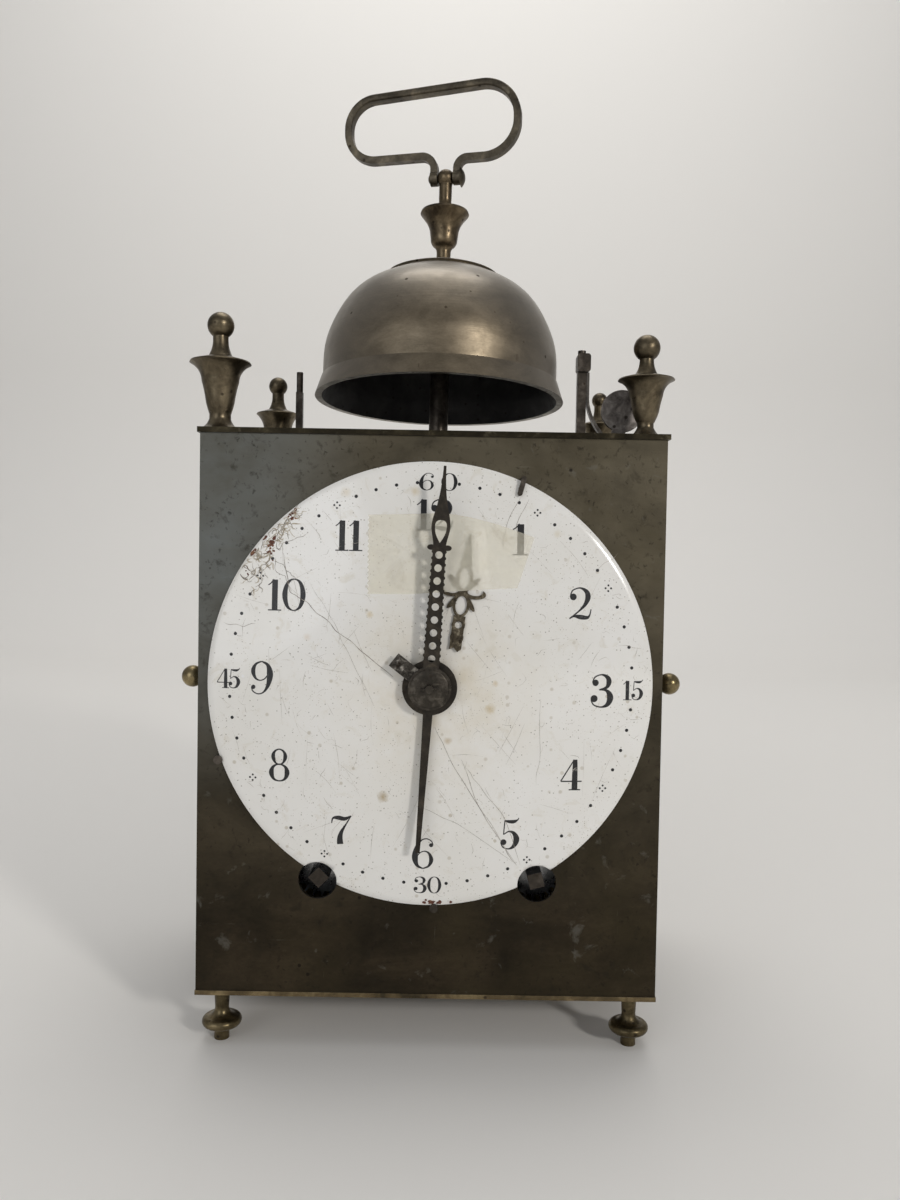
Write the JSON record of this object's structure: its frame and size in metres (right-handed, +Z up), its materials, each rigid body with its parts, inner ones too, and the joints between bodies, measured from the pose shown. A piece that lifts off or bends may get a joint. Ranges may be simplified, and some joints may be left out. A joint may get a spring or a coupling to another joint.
{
  "type": "capucine clock",
  "caption": "Brass box clock on turned feet with a domed enamel dial, a bell over the case, turned finials, a folding handle, hammers and a spring-driven movement.",
  "frame": {"origin": "on the table, under the middle of the whole clock's width and depth", "axes": "+Z up, +X to the clock's right as seen from the front, dial facing -Y"},
  "size_m": [0.1454, 0.12, 0.2962],
  "materials": {
    "case_brass": "old patina, satin",
    "bright_brass": "worn satin",
    "finial_brass": "old satin",
    "bell_bronze": "turned, dulled",
    "handle_steel": "dark, worn",
    "hammer_steel": "dark satin",
    "spring_steel": "blued, worn",
    "leaf_brass": "mottled",
    "enamel": "glossy enamel",
    "hand_steel": "blackened",
    "stub_brass": "pitted",
    "tape_film": "aged, translucent",
    "movement_brass": "satin",
    "arbor_steel": "polished",
    "bob_brass": "satin"
  },
  "bodies": {
    "case": {"base_plate": "case_brass", "top_plate": "case_brass", "corner_posts": "case_brass", "front_panel": "case_brass", "dial": "enamel", "dial_pins": "hammer_steel", "foot_front_left": "bright_brass", "foot_front_right": "bright_brass", "foot_rear_left": "bright_brass", "foot_rear_right": "bright_brass", "finial_front_left": "finial_brass", "finial_front_right": "finial_brass", "finial_rear_left": "finial_brass", "finial_rear_right": "finial_brass", "bell_post": "finial_brass", "bell": "bell_bronze", "bell_finial": "finial_brass", "handle_pin": "handle_steel", "door_hinge_pins": "hammer_steel", "hammer_blade_spring": "spring_steel", "movement_front_plate": "movement_brass", "movement_back_plate": "movement_brass", "movement_pillars": "movement_brass", "pendulum_cock": "movement_brass", "loose_hour_hand": "hand_steel", "tape": "tape_film"},
    "left_door": {"left_door": "case_brass", "left_door_knob": "bright_brass"},
    "right_door": {"right_door": "case_brass", "right_door_knob": "bright_brass"},
    "rear_door": {"rear_door": "case_brass", "rear_door_knob": "bright_brass"},
    "handle": {"handle": "handle_steel"},
    "minute_hand": {"minute_hand": "hand_steel", "cannon_pinion": "arbor_steel"},
    "minute_wheel": {"minute_wheel": "movement_brass"},
    "hour_wheel": {"hour_wheel": "movement_brass", "hour_hand_stub": "stub_brass"},
    "alarm_hand": {"alarm_hand": "hand_steel"},
    "centre_wheel": {"centre_wheel": "movement_brass"},
    "intermediate_wheel": {"intermediate_wheel": "movement_brass"},
    "going_barrel": {"going_barrel": "movement_brass"},
    "going_winding_arbor": {"going_winding_arbor": "arbor_steel"},
    "going_click": {"going_click": "arbor_steel"},
    "third_wheel": {"third_wheel": "movement_brass"},
    "escape_wheel": {"escape_wheel": "movement_brass"},
    "anchor": {"anchor": "arbor_steel"},
    "pendulum": {"pendulum_rod": "arbor_steel", "pendulum_bob": "bob_brass"},
    "pin_wheel": {"pin_wheel": "movement_brass"},
    "strike_second_wheel": {"strike_second_wheel": "movement_brass"},
    "strike_barrel": {"strike_barrel": "movement_brass"},
    "strike_winding_arbor": {"strike_winding_arbor": "arbor_steel"},
    "strike_click": {"strike_click": "arbor_steel"},
    "locking_wheel": {"locking_wheel": "movement_brass"},
    "fly": {"fly": "movement_brass"},
    "strike_hammer": {"strike_hammer_arm": "hammer_steel", "strike_hammer_head": "hammer_steel"},
    "alarm_hammer": {"alarm_hammer_arm": "hammer_steel"},
    "repeat_lever": {"repeat_lever": "leaf_brass"}
  },
  "joints": [
    {"name": "minute_hand_turn", "type": "hinge", "parent": "case", "child": "minute_hand", "pos_m": [0, -0.04772, 0.1041], "axis": [0, 1, 0], "continuous": true},
    {"name": "minute_wheel_turn", "type": "hinge", "parent": "case", "child": "minute_wheel", "pos_m": [0.00848, -0.03773, 0.09562], "axis": [0, 1, 0], "continuous": true},
    {"name": "hour_wheel_turn", "type": "hinge", "parent": "case", "child": "hour_wheel", "pos_m": [0, -0.04772, 0.1041], "axis": [0, 1, 0], "continuous": true},
    {"name": "alarm_hand_turn", "type": "hinge", "parent": "case", "child": "alarm_hand", "pos_m": [0, -0.04772, 0.1041], "axis": [0, 1, 0], "continuous": true},
    {"name": "centre_wheel_turn", "type": "hinge", "parent": "case", "child": "centre_wheel", "pos_m": [0, -0.01673, 0.1041], "axis": [0, 1, 0], "continuous": true},
    {"name": "intermediate_wheel_turn", "type": "hinge", "parent": "case", "child": "intermediate_wheel", "pos_m": [-0.0211, -0.01673, 0.08004], "axis": [0, 1, 0], "continuous": true},
    {"name": "going_barrel_turn", "type": "hinge", "parent": "case", "child": "going_barrel", "pos_m": [-0.0308, -0.01673, 0.0485], "axis": [0, 1, 0], "continuous": true},
    {"name": "third_wheel_turn", "type": "hinge", "parent": "case", "child": "third_wheel", "pos_m": [-0.00542, -0.01673, 0.12283], "axis": [0, 1, 0], "continuous": true},
    {"name": "escape_wheel_turn", "type": "hinge", "parent": "case", "child": "escape_wheel", "pos_m": [0, -0.01673, 0.1381], "axis": [0, 1, 0], "continuous": true},
    {"name": "going_winding_turn", "type": "hinge", "parent": "case", "child": "going_winding_arbor", "pos_m": [-0.0308, -0.01673, 0.0485], "axis": [0, 1, 0], "range_deg": [0, 1440]},
    {"name": "going_click_lift", "type": "hinge", "parent": "case", "child": "going_click", "pos_m": [-0.0227, -0.03673, 0.05815], "axis": [0, 1, 0], "range_deg": [-12, 0], "stiffness_Nm_per_rad": 0.002},
    {"name": "pendulum_swing", "type": "hinge", "parent": "case", "child": "pendulum", "pos_m": [0, 0.01027, 0.1541], "axis": [0, 1, 0], "range_deg": [-4, 4]},
    {"name": "anchor_rock", "type": "hinge", "parent": "case", "child": "anchor", "pos_m": [0, -0.01673, 0.1541], "axis": [0, 1, 0], "range_deg": [-4, 4]},
    {"name": "pin_wheel_turn", "type": "hinge", "parent": "case", "child": "pin_wheel", "pos_m": [0.03549, -0.01673, 0.10167], "axis": [0, 1, 0], "continuous": true},
    {"name": "strike_second_wheel_turn", "type": "hinge", "parent": "case", "child": "strike_second_wheel", "pos_m": [0.03442, -0.01673, 0.0813], "axis": [0, 1, 0], "continuous": true},
    {"name": "strike_barrel_turn", "type": "hinge", "parent": "case", "child": "strike_barrel", "pos_m": [0.0308, -0.01673, 0.0485], "axis": [0, 1, 0], "continuous": true},
    {"name": "locking_wheel_turn", "type": "hinge", "parent": "case", "child": "locking_wheel", "pos_m": [0.03044, -0.01673, 0.11633], "axis": [0, 1, 0], "continuous": true},
    {"name": "fly_turn", "type": "hinge", "parent": "case", "child": "fly", "pos_m": [0.02754, -0.01673, 0.12715], "axis": [0, 1, 0], "continuous": true},
    {"name": "strike_winding_turn", "type": "hinge", "parent": "case", "child": "strike_winding_arbor", "pos_m": [0.0308, -0.01673, 0.0485], "axis": [0, 1, 0], "range_deg": [0, 1440]},
    {"name": "strike_click_lift", "type": "hinge", "parent": "case", "child": "strike_click", "pos_m": [0.0227, -0.03673, 0.05815], "axis": [0, 1, 0], "range_deg": [0, 12], "stiffness_Nm_per_rad": 0.002},
    {"name": "strike_hammer_swing", "type": "hinge", "parent": "case", "child": "strike_hammer", "pos_m": [0.0472, -0.01673, 0.1511], "axis": [0, 1, 0], "range_deg": [-5.6, 7], "stiffness_Nm_per_rad": 0.02, "deforming": ["hammer_blade_spring"]},
    {"name": "alarm_hammer_swing", "type": "hinge", "parent": "case", "child": "alarm_hammer", "pos_m": [-0.04525, -0.01673, 0.1511], "axis": [0, 1, 0], "range_deg": [-7, 4.4], "stiffness_Nm_per_rad": 0.01},
    {"name": "repeat_lever_press", "type": "hinge", "parent": "case", "child": "repeat_lever", "pos_m": [0.051, -0.03182, 0.1591], "axis": [0, 1, 0], "range_deg": [-8, 0], "stiffness_Nm_per_rad": 0.01},
    {"name": "handle_swing", "type": "hinge", "parent": "case", "child": "handle", "pos_m": [0.00156, 0.00607, 0.26531], "axis": [0.9744, -0.225, 0], "range_deg": [-75, 75]},
    {"name": "left_door_swing", "type": "hinge", "parent": "case", "child": "left_door", "pos_m": [-0.064, 0.05128, 0.09], "axis": [0, 0, 1], "range_deg": [-110, 0]},
    {"name": "right_door_swing", "type": "hinge", "parent": "case", "child": "right_door", "pos_m": [0.064, 0.05128, 0.09], "axis": [0, 0, 1], "range_deg": [0, 110]},
    {"name": "rear_door_swing", "type": "hinge", "parent": "case", "child": "rear_door", "pos_m": [-0.0617, 0.05128, 0.09], "axis": [0, 0, 1], "range_deg": [0, 105]}
  ],
  "couplings": [
    {"joint": "minute_wheel_turn", "follows": "minute_hand_turn", "ratio": -0.33333},
    {"joint": "hour_wheel_turn", "follows": "minute_hand_turn", "ratio": 0.083333},
    {"joint": "intermediate_wheel_turn", "follows": "centre_wheel_turn", "ratio": -0.14286},
    {"joint": "going_barrel_turn", "follows": "centre_wheel_turn", "ratio": 0.021978},
    {"joint": "third_wheel_turn", "follows": "centre_wheel_turn", "ratio": -12},
    {"joint": "escape_wheel_turn", "follows": "centre_wheel_turn", "ratio": 132},
    {"joint": "anchor_rock", "follows": "pendulum_swing", "ratio": 1},
    {"joint": "strike_second_wheel_turn", "follows": "pin_wheel_turn", "ratio": -0.13333},
    {"joint": "strike_barrel_turn", "follows": "pin_wheel_turn", "ratio": 0.020513},
    {"joint": "locking_wheel_turn", "follows": "pin_wheel_turn", "ratio": -9.3333},
    {"joint": "fly_turn", "follows": "pin_wheel_turn", "ratio": 77.778}
  ]
}
